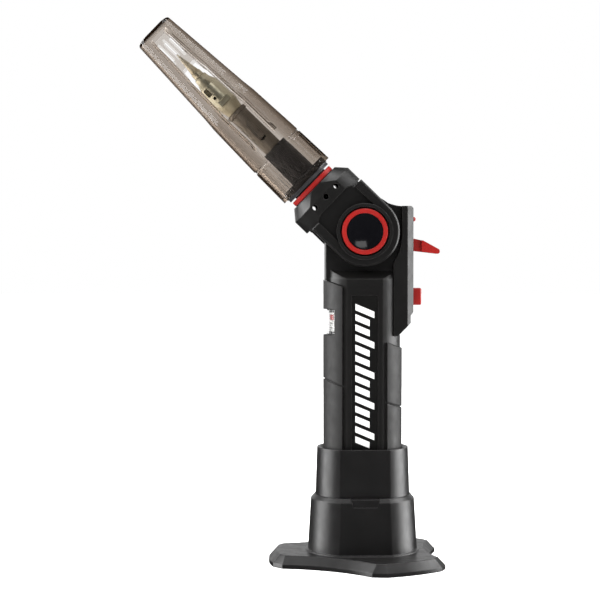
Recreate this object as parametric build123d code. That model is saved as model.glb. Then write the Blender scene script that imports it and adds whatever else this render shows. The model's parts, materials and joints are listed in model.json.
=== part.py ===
from build123d import *
import os
from math import cos, hypot, radians, sin, sqrt

# Butane torch with an indexing head, standing in its two-piece stand. Millimetres, +Z up.
# The origin is on the floor under the handle's axis. The front panel faces -Y, the red
# controls are on +X, and the head leans towards -X about a pivot that runs along Y.

# --- Stand -----------------------------------------------------------------------------
LOBE_ANGLES = (180.0, 300.0, 60.0)
LOBE_REACH = 46.8
LOBE_END = (45.0, 16.0)
LOBE_CORNER = (40.6, 21.6)
FOOT_SAG = 4.5
FOOT_LIP = 1.9
FOOT_TOP = 6.0
FOOT_BEVEL = 3.6
STEP_TOP = 6.6
PAD_R = 9.0
SOCKET_FLOOR = 7.6
COLLAR_BASE_R = 27.3
COLLAR_RIM_R = 25.8
COLLAR_RIM_Z = 32.0
COLLAR_SHOULDER = 2.0
COLLAR_FLAT = 24.0
SLEEVE_R = 23.5
SLEEVE_TOP_R = 22.7
SLEEVE_FLAT = 19.9
SLEEVE_TOP_FLAT = 19.1
SLEEVE_TOP = 57.6
SOCKET_R = 20.4
SOCKET_FLAT = 17.2
KEY_TOP_HALF = 7.1
KEY_BOTTOM_HALF = 5.9
KEY_DEPTH = 4.1

# --- Torch body ------------------------------------------------------------------------
BODY_R = 18.7
BODY_FLAT = 16.5
BODY_WALL = 2.2
SHOULDER_Z = 141.4
KNUCKLE_Z = 145.6
KNUCKLE_HALF = 8.3
KNUCKLE_R = 18.6
PIVOT_Z = 164.6
PANEL_HALF = 6.4
PANEL_TOP = 133.3
PANEL_BOTTOM = 18.6
PANEL_SEAT = 15.0
PANEL_FACE = 15.85
RECESS_HALF = 8.5
RECESS_TOP = 137.6
GRIP_R = 19.6
GRIP_SEAT_R = 17.9
GRIP_SPREAD = 56.0
GRIP_BOTTOM = 10.6
GRIP_SLOPE = 0.37
LEFT_GRIP_TOP = 133.6
RIGHT_GRIP_TOP = 114.1
GROOVE_Z = 84.6
GROOVE_WIDTH = 0.9
GROOVE_DEPTH = 0.8
WINDOW_Z = (113.4, 126.4)
WINDOW_SPREAD = 41.0

# --- Control housing -------------------------------------------------------------------
HOUSING_X = 14.5
HOUSING_TOP_X = 18.6
HOUSING_RIGHT = 24.5
HOUSING_TOP = 177.3
HOUSING_BOTTOM = 113.2
HOUSING_HALF = 12.6
HOUSING_WALL = 2.0
RECESS_CORNER_Z = 149.2
BUTTON_Z = 132.5
PIN_Z = 171.0
SPINDLE_X = 9.0
LEVER_Z = (155.4, 161.4)
LEVER_ARM_HALF = 1.7
LEVER_PADDLE_HALF = 4.6

# --- Head, drawn upright about the pivot and then tilted -------------------------------
HEAD_TILT = 46.0
EAR_IN = 8.8
EAR_OUT = 16.0
EAR_R = 17.2
RIM_OUT = 17.2
RIM_R = 13.8
COUNTERBORE_R = 12.2
COLLAR_U = (17.0, 27.5)
HEAD_R = 18.9
HEAD_FLAT = 16.4
NECK_U = 32.5
NECK_R = 14.5
NECK_OFFSET = -1.0
CROTCH_U = 19.4
CAVITY_U = 21.6
CAVITY_R = 12.0
SPIGOT_R = 10.1
AIR_HOLE_R = 1.4
AIR_HOLE_U = 25.6
AIR_HOLE_PITCH = 7.4
AXLE_R = 4.0
RUNNING = 0.05
GAS_Y = 11.2
SLEEVE_U = (37.4, 61.0)
TUBE_U = (56.0, 87.0)
TUBE_R = 5.0
CAP_U = (37.8, 143.7)
CAP_WALL = 1.8
CAP_RECESS = 0.35
SKIRT_U = 58.4


# --- Helpers ---------------------------------------------------------------------------
def block(x, y, z):
    """A box between the two limits of each axis."""
    size = [high - low for low, high in (x, y, z)]
    middle = [(low + high) / 2 for low, high in (x, y, z)]
    return Pos(*middle) * Box(*size)


def rod_z(radius, low, high, x=0.0, y=0.0):
    """A cylinder along Z."""
    return Pos(x, y, (low + high) / 2) * Cylinder(radius, high - low)


def rod_y(radius, low, high, x=0.0, z=0.0):
    """A cylinder along Y."""
    return Pos(x, (low + high) / 2, z) * Rot(90, 0, 0) * Cylinder(radius, high - low)


def rod_x(radius, low, high, y=0.0, z=0.0):
    """A cylinder along X."""
    return Pos((low + high) / 2, y, z) * Rot(0, 90, 0) * Cylinder(radius, high - low)


def flatted(radius, flat, height=0.0):
    """A disc with flats at front and back, lying at a height."""
    face = Circle(radius) & Rectangle(4 * radius, 2 * flat)
    return Pos(0, 0, height) * face


def flatted_loft(low, high):
    """A tapering column between two flatted discs, each given as radius, flat and height."""
    return loft([flatted(*low), flatted(*high)], ruled=True)


def side_sector(inner, outer, facing, spread, low, high):
    """Part of an upright tube: all of it within spread degrees of the facing direction."""
    reach = 3 * outer
    edge = [(reach * cos(radians(facing + a)), reach * sin(radians(facing + a)))
            for a in (-spread, 0, spread)]
    wedge = extrude(Pos(0, 0, low) * make_face(Polyline((0, 0), *edge, (0, 0))), high - low)
    tube = rod_z(outer, low, high) - rod_z(inner, low - 1, high + 1)
    return tube & wedge


def across(face, half):
    """A face drawn in X and Z, made solid to half its width on both sides of the middle."""
    return extrude(Plane.XZ * face, half, both=True)


def coil(radius, wire, length, turns):
    """A round-wire compression spring standing on the XY plane."""
    path = Helix(pitch=(length - wire) / turns, height=length - wire, radius=radius)
    section = (path ^ 0) * Circle(wire / 2)
    return Pos(0, 0, wire / 2) * sweep(section, path=path)


def bent_rod(points, radii, radius):
    """A round rod along straight runs joined by tangent arcs."""
    path = FilletPolyline(*points, radius=radii)
    return sweep((path ^ 0) * Circle(radius), path=path)


def round_edges(part, over):
    """The circular edges whose radius is more than the given one."""
    return [edge for edge in part.edges().filter_by(GeomType.CIRCLE) if edge.radius > over]


def front_half(part):
    """What lies on the front side of the split line."""
    return part & block((-200, 200), (-200, 0), (-200, 400))


def rear_half(part):
    """What lies on the rear side of the split line."""
    return part & block((-200, 200), (0, 200), (-200, 400))


def head_place(part):
    """From the upright head frame to its place on the pivot."""
    return Pos(0, 0, PIVOT_Z) * Rot(0, -HEAD_TILT, 0) * part


# --- Stand -----------------------------------------------------------------------------
def foot_outline(inset, height):
    """Three lobes with bowed ends and cornered sides, joined by shallow hollow edges."""
    reach = LOBE_REACH - inset
    end_u, end_v = LOBE_END[0] - inset, LOBE_END[1] - 0.4 * inset
    corner_u, corner_v = LOBE_CORNER[0] - 0.4 * inset, LOBE_CORNER[1] - inset
    lobe = [(corner_u, -corner_v), (end_u, -end_v), (reach, 0), (end_u, end_v), (corner_u, corner_v)]
    lobes = []
    for angle in LOBE_ANGLES:
        turn = radians(angle)
        lobes.append([(u * cos(turn) - v * sin(turn), u * sin(turn) + v * cos(turn)) for u, v in lobe])
    edges = []
    for here, there in zip(lobes, lobes[1:] + lobes[:1]):
        edges += [Line(here[0], here[1]), ThreePointArc(*here[1:4]), Line(here[3], here[4])]
        start, end = here[-1], there[0]
        middle = ((start[0] + end[0]) / 2, (start[1] + end[1]) / 2)
        pull = 1 - FOOT_SAG / hypot(*middle)
        edges.append(ThreePointArc(start, (middle[0] * pull, middle[1] * pull), end))
    return Pos(0, 0, height) * make_face(edges)


def key_prism(front, back, slack=0.0):
    """The trapezoid that keys the two collars together, wider at the top."""
    top = COLLAR_RIM_Z + COLLAR_SHOULDER + 0.5
    low = COLLAR_RIM_Z + COLLAR_SHOULDER - KEY_DEPTH
    face = make_face(Polyline((-KEY_BOTTOM_HALF - slack, low - slack), (KEY_BOTTOM_HALF + slack, low - slack),
                              (KEY_TOP_HALF + slack, top), (-KEY_TOP_HALF - slack, top),
                              (-KEY_BOTTOM_HALF - slack, low - slack)))
    return Pos(0, front, 0) * extrude(Plane.XZ * face, front - back)


def stand_foot():
    plate = extrude(foot_outline(0, 0), FOOT_LIP)
    plate += loft([foot_outline(0, FOOT_LIP), foot_outline(FOOT_BEVEL, FOOT_TOP)], ruled=True)
    step_r = COLLAR_BASE_R + 1.2
    plate += flatted_loft((step_r, COLLAR_FLAT + 1.2, FOOT_TOP), (step_r - 0.2, COLLAR_FLAT + 1.0, STEP_TOP))
    wall_foot = (COLLAR_BASE_R, COLLAR_FLAT, STEP_TOP)
    wall = flatted_loft(wall_foot, (COLLAR_RIM_R, COLLAR_FLAT - 1.2, COLLAR_RIM_Z))
    shoulder_z = COLLAR_RIM_Z + COLLAR_SHOULDER
    wall += flatted_loft((COLLAR_RIM_R, COLLAR_FLAT - 1.2, COLLAR_RIM_Z),
                         (COLLAR_RIM_R - 1.7, COLLAR_FLAT - 2.9, shoulder_z))
    foot = plate + wall
    foot -= extrude(flatted(SLEEVE_R, SLEEVE_FLAT, SOCKET_FLOOR), 60)
    foot -= key_prism(-SLEEVE_FLAT + 2, -SLEEVE_FLAT - 8)
    # The underside is cored out and braced by a middle pad, a ring and three pairs of ribs.
    core = extrude(foot_outline(3.2, -1), FOOT_TOP - 2.4 + 1)
    core -= rod_z(COLLAR_BASE_R, -2, 20) - rod_z(COLLAR_BASE_R - 2.2, -2, 20)
    core -= rod_z(PAD_R, -2, 20)
    for angle in LOBE_ANGLES:
        for side in (-9, 9):
            core -= Rot(0, 0, angle) * block((0, 60), (side - 0.9, side + 0.9), (-2, 20))
    return foot - core


def stand_collar():
    straight = COLLAR_RIM_Z + COLLAR_SHOULDER - SOCKET_FLOOR
    sleeve = extrude(flatted(SLEEVE_R, SLEEVE_FLAT, SOCKET_FLOOR), straight)
    sleeve += flatted_loft((SLEEVE_R, SLEEVE_FLAT, COLLAR_RIM_Z + COLLAR_SHOULDER),
                           (SLEEVE_TOP_R, SLEEVE_TOP_FLAT, SLEEVE_TOP))
    tab = key_prism(-SLEEVE_FLAT + 2, -COLLAR_FLAT + 1.4)
    tab &= block((-20, 20), (-COLLAR_FLAT + 1.4, 0), (0, COLLAR_RIM_Z + COLLAR_SHOULDER - 0.4))
    sleeve += tab
    sleeve -= extrude(flatted(SOCKET_R, SOCKET_FLAT, SOCKET_FLOOR), 80)
    lead_foot = (SOCKET_R, SOCKET_FLAT, SLEEVE_TOP - 1.0)
    lead_in = flatted_loft(lead_foot, (SOCKET_R + 1.0, SOCKET_FLAT + 1.0, SLEEVE_TOP))
    return sleeve - lead_in


# --- Torch body ------------------------------------------------------------------------
def recess_edge():
    """The curve that the housing and the knuckle share, from the ear recess to the top."""
    return ThreePointArc((HOUSING_X, RECESS_CORNER_Z), (17.6, PIVOT_Z - 8.5), (HOUSING_TOP_X, PIVOT_Z))


def knuckle_face():
    """The upright tongue between the head's ears, seen from the front."""
    left = -BODY_R
    low = SHOULDER_Z - 8
    edge = [Polyline((left, PIVOT_Z), (left, low), (HOUSING_X, low), (HOUSING_X, RECESS_CORNER_Z)),
            recess_edge(),
            ThreePointArc((HOUSING_TOP_X, PIVOT_Z), (0, PIVOT_Z + KNUCKLE_R), (left, PIVOT_Z))]
    return make_face(edge)


def fairing_face():
    """The hollow curve that carries the housing's top up to the knuckle."""
    left_z = PIVOT_Z + sqrt(KNUCKLE_R ** 2 - 7.5 ** 2) - 0.4
    edge = [Polyline((HOUSING_TOP_X, HOUSING_TOP), (HOUSING_TOP_X, PIVOT_Z), (7.5, PIVOT_Z), (7.5, left_z)),
            ThreePointArc((7.5, left_z), (12.6, HOUSING_TOP + 1.3), (HOUSING_TOP_X, HOUSING_TOP))]
    return make_face(edge)


def body_form():
    """The outside of the two body shells together."""
    form = extrude(flatted(BODY_R - 0.8, BODY_FLAT - 0.8, SOCKET_FLOOR), 1.0)
    heel = (BODY_R - 0.8, BODY_FLAT - 0.8, SOCKET_FLOOR + 1)
    form += flatted_loft(heel, (BODY_R, BODY_FLAT, SOCKET_FLOOR + 2))
    form += extrude(flatted(BODY_R, BODY_FLAT, SOCKET_FLOOR + 2), SHOULDER_Z - SOCKET_FLOOR - 2)
    form += flatted_loft((BODY_R, BODY_FLAT, SHOULDER_Z), (BODY_R, KNUCKLE_HALF, KNUCKLE_Z))
    form -= block((HOUSING_X, 40), (-40, 40), (HOUSING_BOTTOM, RECESS_CORNER_Z))
    form += across(knuckle_face(), KNUCKLE_HALF)
    form += across(fairing_face(), KNUCKLE_HALF)
    return form


def body_cavity():
    """The space inside the shells."""
    inner_r = BODY_R - BODY_WALL
    cavity = extrude(flatted(inner_r, BODY_FLAT - 2.6, SOCKET_FLOOR + 2.5), 128.5)
    upper = Pos(0, 0, PIVOT_Z) * Rot(90, 0, 0) * Cylinder(KNUCKLE_R - BODY_WALL, 2 * (KNUCKLE_HALF - 2.4))
    upper += block((-BODY_R + BODY_WALL, HOUSING_X - BODY_WALL), (-KNUCKLE_HALF + 2.4, KNUCKLE_HALF - 2.4),
                   (SHOULDER_Z - 4.8, PIVOT_Z))
    for side in (-1, 1):
        upper -= rod_y(5.5, *sorted((side * 3.9, side * 9)), z=PIVOT_Z)
    return cavity + upper


def grip_space(facing, spread, top, outer):
    """A side grip's space: a sector with a slanting top edge."""
    sector = side_sector(GRIP_SEAT_R, outer, facing, spread, GRIP_BOTTOM, 160)
    left, right = (-40, top + 40 * GRIP_SLOPE), (40, top - 40 * GRIP_SLOPE)
    slant = make_face(Polyline(left, right, (40, 300), (-40, 300), left))
    return sector - across(slant, 60)


def slant_groove():
    """The thin sloping ring cut round both side grips."""
    low = GROOVE_Z - GROOVE_WIDTH / 2
    high = GROOVE_Z + GROOVE_WIDTH / 2
    band = make_face(Polyline((-40, low + 40 * GRIP_SLOPE), (40, low - 40 * GRIP_SLOPE),
                              (40, high - 40 * GRIP_SLOPE), (-40, high + 40 * GRIP_SLOPE),
                              (-40, low + 40 * GRIP_SLOPE)))
    return across(band, 60) - rod_z(GRIP_R - GROOVE_DEPTH, 0, 200)


def window_space(inner, outer, margin):
    """The fuel window's space in the left side."""
    low, high = WINDOW_Z
    return side_sector(inner, outer, 180, WINDOW_SPREAD - 2 * margin, low + margin, high - margin)


SCREW_PLACES = ((8.0, BUTTON_Z - 8.6, BODY_FLAT), (0.0, PIVOT_Z + 13.2, KNUCKLE_HALF),
                (-7.6, SOCKET_FLOOR + 8, BODY_FLAT), (7.6, SOCKET_FLOOR + 8, BODY_FLAT))


def body_screw(x, z, rear, grow=0.0):
    """A pan-head screw from the rear; grow is the room left round its head."""
    screw = rod_y(1.25, -5.0, rear - 3.0, x, z)
    screw += rod_y(2.3 + grow, rear - 3.0, rear - 1.4 + 10 * grow, x, z)
    return screw


def drive_cross(x, y, z, size=1.3):
    """The cross recess in a screw head."""
    cross = block((x - size, x + size), (y - 0.9, y + 1), (z - 0.3, z + 0.3))
    return cross + block((x - 0.3, x + 0.3), (y - 0.9, y + 1), (z - size, z + size))


def front_sheet(half, low, high, y):
    """A rectangle that faces the front, at a depth."""
    return Pos(0, y, (low + high) / 2) * Rot(90, 0, 0) * Rectangle(2 * half, high - low)


def panel_recess():
    """The bevelled frame that leads down to the front panel, and the panel's seat."""
    margin = RECESS_HALF - PANEL_HALF
    frame = loft([front_sheet(RECESS_HALF, PANEL_BOTTOM - margin, RECESS_TOP, -BODY_FLAT),
                  front_sheet(PANEL_HALF, PANEL_BOTTOM, PANEL_TOP, -PANEL_FACE)], ruled=True)
    return frame + block((-PANEL_HALF, PANEL_HALF), (-PANEL_FACE, -PANEL_SEAT), (PANEL_BOTTOM, PANEL_TOP))


def body_shell_pair():
    form = body_form() - body_cavity()
    # Bosses for the screws run from front to rear inside the cavity.
    inside = body_form()
    for x, z, rear in SCREW_PLACES:
        form += rod_y(2.7, -rear + 0.5, rear - 0.5, x, z) & inside
    form -= panel_recess()
    form -= grip_space(180, GRIP_SPREAD, LEFT_GRIP_TOP, 30)
    form -= grip_space(0, GRIP_SPREAD, RIGHT_GRIP_TOP, 30)
    form -= window_space(16.9, 30, 0.5)
    form -= window_space(10, 30, 1.8)
    form -= rod_z(5.4, 0, 20)
    form -= rod_y(AXLE_R, -20, 20, z=PIVOT_Z)
    form -= rod_x(1.6, 14.5, 20, z=PIN_Z)
    form -= block((12, 20), (-5.2, 5.2), (LEVER_Z[0] - 0.6, LEVER_Z[1] + 0.8))
    for x, z, rear in SCREW_PLACES:
        form -= body_screw(x, z, rear, 0.3)
    return front_half(form), rear_half(form)


def front_panel():
    panel = block((-PANEL_HALF + 0.1, PANEL_HALF - 0.1), (-PANEL_FACE, -PANEL_SEAT),
                  (PANEL_BOTTOM + 0.1, PANEL_TOP - 0.1))
    return chamfer(panel.edges().filter_by(Axis.Z), 0.2)


def grip(facing, top):
    pad = grip_space(facing, GRIP_SPREAD - 0.3, top - 0.1, GRIP_R)
    pad -= slant_groove()
    if facing == 180:
        pad -= side_sector(0, 40, 180, WINDOW_SPREAD, *WINDOW_Z)
    return pad


def level_window():
    return window_space(16.9, 17.8, 0.6)


# --- Control housing -------------------------------------------------------------------
HOUSING_STEP = 1.4
HOUSING_BEVEL = 3.2


def housing_face():
    """The housing from the front: a stepped right-hand edge and a slanting lower corner."""
    right = HOUSING_RIGHT
    inner = HOUSING_RIGHT - HOUSING_STEP
    low = HOUSING_BOTTOM
    outer_edge = Polyline(
        (HOUSING_TOP_X, PIVOT_Z),
        (HOUSING_TOP_X, HOUSING_TOP),
        (right - 1, HOUSING_TOP),
        (right, HOUSING_TOP - 1),
        (right, low + 11.6),
        (inner, low + 10),
        (inner, low + 6.4),
        (right - 7.8, low),
        (HOUSING_X, low),
        (HOUSING_X, RECESS_CORNER_Z),
    )
    return make_face([recess_edge(), outer_edge])


def control_housing():
    housing = across(housing_face(), HOUSING_HALF)
    corner = HOUSING_RIGHT - HOUSING_BEVEL
    for side in (-1, 1):
        edge_y = side * HOUSING_HALF
        bevel_y = side * (HOUSING_HALF - HOUSING_BEVEL)
        clear_y = side * (HOUSING_HALF + 5)
        clear_x = HOUSING_RIGHT + 5
        cut = make_face(Polyline(
            (corner, edge_y),
            (HOUSING_RIGHT, bevel_y),
            (clear_x, bevel_y),
            (clear_x, clear_y),
            (corner, clear_y),
            (corner, edge_y),
        ))
        housing -= extrude(Pos(0, 0, 100) * cut, 100)
    inner_x = HOUSING_RIGHT - HOUSING_WALL
    housing -= block((0, inner_x), (-10.4, 10.4), (HOUSING_BOTTOM + 12.6, RECESS_CORNER_Z - 1.6))
    housing -= block((0, inner_x), (-7.6, 7.6), (RECESS_CORNER_Z - 1.6, HOUSING_TOP - 2.0))
    housing -= block((inner_x - 1, 30), (-6.4, 6.4), (LEVER_Z[0] - 0.7, LEVER_Z[1] + 0.8))
    housing -= block((inner_x - 1, 30), (-5.0, 5.0), (BUTTON_Z - 4.35, BUTTON_Z + 4.35))
    housing -= rod_x(1.22, 20, 30, z=PIN_Z)
    return housing


def lever_plate(points, half):
    """A flat length of the lever, drawn in X and Z."""
    return across(make_face(Polyline(*points, points[0])), half)


def flow_lever():
    low, high = LEVER_Z
    lever = rod_z(3.4, low, high, SPINDLE_X)
    arm_foot = [(SPINDLE_X, low), (24.9, low - 0.3), (30.5, low - 0.9)]
    arm_top = [(30.5, high - 1.2), (27.7, high - 0.6), (24.9, high), (SPINDLE_X, high)]
    lever += lever_plate(arm_foot + arm_top, LEVER_ARM_HALF)
    paddle_foot = [(29.0, low - 0.7), (37.4, low - 1.7), (38.2, low - 0.9), (38.0, low + 0.5)]
    paddle_top = [(29.6, high - 0.9), (29.0, high - 1.2)]
    paddle = lever_plate(paddle_foot + paddle_top, LEVER_PADDLE_HALF)
    lever += chamfer(paddle.edges().filter_by(Axis.Y), 0.25)
    return lever - rod_z(1.9, 0, 300, SPINDLE_X)


def valve_spindle():
    top = LEVER_Z[1] + 0.8
    spindle = rod_z(1.9, GAS_VALVE_Z[1] - 4, top, SPINDLE_X)
    return spindle + rod_z(2.4, top, top + 1, SPINDLE_X)


def lock_pin():
    pin = rod_x(1.15, 19.0, 25.4, z=PIN_Z) + Pos(25.4, 0, PIN_Z) * Sphere(1.15)
    return pin + rod_x(2.3, 21.6, 22.5, z=PIN_Z)


def lock_spring():
    return Pos(18.7, 0, PIN_Z) * Rot(0, 90, 0) * coil(1.75, 0.4, 2.8, 3)


def ignition_button():
    button = block((21.0, 29.0), (-4.9, 4.9), (BUTTON_Z - 4.2, BUTTON_Z + 4.2))
    button = fillet(button.edges().filter_by(Axis.X), 0.8)
    button = chamfer(button.faces().sort_by(Axis.X)[-1].edges(), 0.5)
    return button + block((21.0, 22.4), (-6.2, 6.2), (BUTTON_Z - 5.4, BUTTON_Z + 5.4))


def piezo_unit():
    unit = block((-6, 13.5), (-4, 4), (BUTTON_Z - 4, BUTTON_Z + 4))
    unit = chamfer(unit.edges().filter_by(Axis.X), 0.8)
    return unit - rod_x(3.1, 3.5, 20, z=BUTTON_Z)


def piezo_plunger():
    return rod_x(3.0, 8.0, 21.0, z=BUTTON_Z)


def button_spring():
    return Pos(13.6, 0, BUTTON_Z) * Rot(0, 90, 0) * coil(3.7, 0.6, 7.3, 4)


# --- Fuel system -----------------------------------------------------------------------
TANK_Z = (21.6, 118.6)
GAS_VALVE_Z = (140.1, 148.6)
VALVE_FOOT = SOCKET_FLOOR + 0.4


def fuel_tank():
    low, high = TANK_Z
    tank = extrude(flatted(16.2, 13.6, low), high - low)
    tank = chamfer(tank.faces().sort_by(Axis.Z)[-1].edges(), 1.2)
    tank -= block((12.2, 30), (-30, 30), (high - 8, high + 1))
    hollow = extrude(flatted(14.6, 12.0, low + 1.8), high - low - 3.6)
    tank -= hollow & block((-30, 10.6), (-30, 30), (0, 200))
    tank -= rod_z(6.0, low - 1, low + 4)
    return tank - rod_z(1.0, high - 4, high + 1, -9.5)


def tank_plug():
    low = TANK_Z[0]
    plug = rod_z(6.0, low, low + 2.6) + rod_z(7.6, low - 1.4, low)
    return plug - rod_z(4.0, low - 3, low + 5)


def valve_body():
    low = VALVE_FOOT
    body = rod_z(5.3, low, low + 2.1) + rod_z(4.0, low + 2.1, low + 18.1)
    body -= rod_z(1.25, low - 1, low + 4)
    body -= rod_z(2.0, low + 3.0, low + 15.6)
    return body - rod_z(0.9, low + 15, low + 20)


def valve_stem():
    low = VALVE_FOOT
    stem = rod_z(1.18, low + 0.9, low + 3.6) + rod_z(1.92, low + 3.5, low + 5.0)
    return stem + rod_z(0.7, low + 5.0, low + 9.6)


def valve_spring():
    return Pos(0, 0, VALVE_FOOT + 5.1) * coil(1.45, 0.4, 5.5, 4)


def valve_seal():
    return rod_z(1.98, VALVE_FOOT + 10.7, VALVE_FOOT + 12.2) - rod_z(0.85, 10, 40)


def gas_valve():
    low, high = GAS_VALVE_Z
    valve = block((-12, 12), (-4.8, 4.8), (low, high))
    valve = chamfer(valve.edges().filter_by(Axis.Z), 1.0)
    valve += rod_z(2.1, TANK_Z[1], low, -9.5)
    valve += rod_z(3.4, TANK_Z[1], TANK_Z[1] + 2.5, -9.5)
    valve -= rod_z(1.0, TANK_Z[1] - 1, low + 4.5, -9.5)
    valve -= rod_x(0.7, -9.5, SPINDLE_X, z=low + 3.7)
    valve -= rod_z(1.9 + RUNNING, low + 3.3, high + 1, SPINDLE_X)
    return valve - rod_z(0.8, low + 3.5, high + 1)


def gas_tube():
    low = GAS_VALVE_Z[1]
    tube = rod_z(1.6, low, PIVOT_Z - 3)
    tube -= rod_z(0.8, low - 1, PIVOT_Z)
    return tube - rod_y(AXLE_R, -5, 5, z=PIVOT_Z)


def ignition_lead():
    rises = [(-6.0, 3.3, 0.1), (-10.4, 3.3, 0.1), (-13.7, 3.6, 4.5), (-14.2, 3.6, 12.1),
             (-13.2, 3.6, 19.1), (-9.4, 3.4, 24.7), (-5.5, 3.2, 27.1)]
    points = [(x, y, BUTTON_Z + rise) for x, y, rise in rises]
    return bent_rod(points, [3.2, 4.0, 8.0, 8.0, 7.0], 0.7)


# --- Pivot -----------------------------------------------------------------------------
SEAL_Y = (9.6, 12.9)
WHEEL_Y = (-12.6, -10.9)
WHEEL_R = 6.4
PAWL_RADIUS = 7.7


def pivot_axle():
    axle = rod_y(AXLE_R, -10.9, 14.2, z=PIVOT_Z) + rod_y(3.0, -12.9, -10.9, z=PIVOT_Z)
    axle -= rod_y(1.3, -14, -3.2, z=PIVOT_Z)
    axle -= rod_y(1.0, -1.2, GAS_Y + 1.2, z=PIVOT_Z)
    axle -= rod_z(0.7, PIVOT_Z - 5, PIVOT_Z)
    axle -= rod_z(0.7, PIVOT_Z, PIVOT_Z + 5, y=GAS_Y)
    for y in SEAL_Y:
        axle -= rod_y(9, y - 0.65, y + 0.65, z=PIVOT_Z) - rod_y(2.75, y - 1, y + 1, z=PIVOT_Z)
    return axle


def pivot_seals():
    rings = [Pos(0, y, PIVOT_Z) * Rot(90, 0, 0) * Torus(3.38, 0.6) for y in SEAL_Y]
    return rings[0] + rings[1]


def index_wheel():
    wheel = rod_y(WHEEL_R, *WHEEL_Y, z=PIVOT_Z) - rod_y(3.0, -20, 0, z=PIVOT_Z)
    for step in range(24):
        turn = radians(15 * step)
        wheel -= rod_y(0.55, -20, 0, 6.5 * sin(turn), PIVOT_Z + 6.5 * cos(turn))
    return wheel


# The following parts are drawn in the upright head frame, whose origin is the pivot.
def index_pawl():
    pawl = rod_y(1.0, -12.9, -10.6, z=PAWL_RADIUS)
    return pawl + rod_y(0.7, -14.9, -12.9, z=PAWL_RADIUS)


def pivot_button():
    button = rod_y(8.92, -16.9, -14.9)
    dish = Pos(0, -16.9 - 20.4, 0) * Sphere(22.0)
    button -= dish
    return button + rod_y(1.22, -14.9, -5.2)


def pawl_spring():
    return Pos(0, -12.6, 0) * Rot(90, 0, 0) * coil(4.6, 0.5, 2.3, 2)


def pivot_ring():
    ring = rod_y(11.3, -17.5, -14.8) - rod_y(9.0, -20, 0)
    return fillet(ring.faces().sort_by(Axis.Y)[0].edges(), 0.7)


def pivot_cap():
    cap = rod_y(8.9, 14.6, 16.6)
    cap = fillet(cap.faces().sort_by(Axis.Y)[-1].edges(), 0.6)
    return cap - rod_y(4.5, 16.0, 20)


# --- Head shells -----------------------------------------------------------------------
def ear_face():
    """The ears seen from the front: a disc that runs straight up into the collar."""
    edge = [Polyline((EAR_R, 0), (EAR_R, COLLAR_U[0] + 2), (-EAR_R, COLLAR_U[0] + 2), (-EAR_R, 0)),
            ThreePointArc((-EAR_R, 0), (0, -EAR_R), (EAR_R, 0))]
    return make_face(edge)


def pocket_face():
    """The sunk field between the pivot boss and the band of air holes."""
    half = 12.6
    return make_face(Polyline((-half, 0), (half, 0), (half, 19.6), (9.0, 21.4), (-9.0, 21.4), (-half, 19.6),
                              (-half, 0)))


def head_form():
    form = across(ear_face(), EAR_OUT)
    form = chamfer(round_edges(form, 12), 0.8)
    low, high = COLLAR_U
    collar = flatted_loft((EAR_R + 0.2, EAR_OUT, low - 1.2), (HEAD_R, HEAD_FLAT, low + 1.2))
    collar += extrude(flatted(HEAD_R, HEAD_FLAT, low + 1.2), high - low - 1.2)
    collar += flatted_loft((HEAD_R, HEAD_FLAT, high), (NECK_R, NECK_R - 0.3, NECK_U))
    form += Pos(NECK_OFFSET, 0, 0) * collar
    pocket = Pos(0, -13.9, 0) * extrude(Plane.XZ * pocket_face(), 10)
    pocket += Pos(0, 23.9, 0) * extrude(Plane.XZ * pocket_face(), 10)
    pocket -= rod_y(RIM_R, -40, 40)
    form -= pocket
    form += rod_y(RIM_R, -RIM_OUT, RIM_OUT)
    return form


def head_bores():
    """Everything that is hollow in the head shells."""
    bores = block((-40, 40), (-EAR_IN, EAR_IN), (-40, CROTCH_U))
    bores -= block((-40, 40), (-40, 40), (CROTCH_U - 0.01, CROTCH_U))
    bores += rod_y(AXLE_R + RUNNING, -30, 30)
    bores += rod_y(COUNTERBORE_R, -30, -14.8)
    bores += rod_y(9.0, -15, -10.2)
    bores += rod_y(9.0, 14.6, 30)
    bores += rod_y(1.25, -12, -8, z=PAWL_RADIUS)
    bores += rod_z(CAVITY_R, CAVITY_U, 30.0, NECK_OFFSET)
    bores += rod_z(SPIGOT_R, 25, 40, NECK_OFFSET)
    for step in (-1, 0, 1):
        bores += rod_y(AIR_HOLE_R, -30, 30, NECK_OFFSET + step * AIR_HOLE_PITCH, AIR_HOLE_U)
    bores += rod_z(1.25, 3.5, CAVITY_U + 1.8, y=GAS_Y)
    bores += rod_z(0.9, 9.0, CAVITY_U + 1.8, -4.2, GAS_Y)
    return bores


HEAD_SCREWS = ((NECK_OFFSET - 15.4, 23.5), (NECK_OFFSET + 15.4, 23.5))


def head_screw(x, u, grow=0.0):
    screw = rod_y(1.1, -6.0, 7.5, x, u)
    return screw + rod_y(2.0 + grow, 7.5, 8.9 + 20 * grow, x, u)


def head_shell_pair():
    form = head_form() - head_bores()
    for x, u in HEAD_SCREWS:
        form -= head_screw(x, u, 0.25)
    return front_half(form), rear_half(form)


# --- Burner ----------------------------------------------------------------------------
def head_tube():
    points = [(0, GAS_Y, 4.3), (0, GAS_Y, 22.4), (NECK_OFFSET, 0, 27.0), (NECK_OFFSET, 0, 31.0)]
    return bent_rod(points, [2.4, 2.0], 1.1)


def head_lead():
    neck_x = NECK_OFFSET - 5.2
    points = [(-4.2, GAS_Y, 9.3), (-4.2, GAS_Y, 22.6), (neck_x, 0, 27.2), (neck_x, 0, 30.0)]
    return bent_rod(points, [2.4, 2.0], 0.7)


def jet_nozzle():
    nozzle = rod_z(2.6, 31.0, 36.0) + Pos(0, 0, 37.0) * Cone(2.6, 1.2, 2.0)
    nozzle -= rod_z(1.0, 30, 36.6)
    return nozzle - rod_z(0.25, 36, 39)


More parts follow.
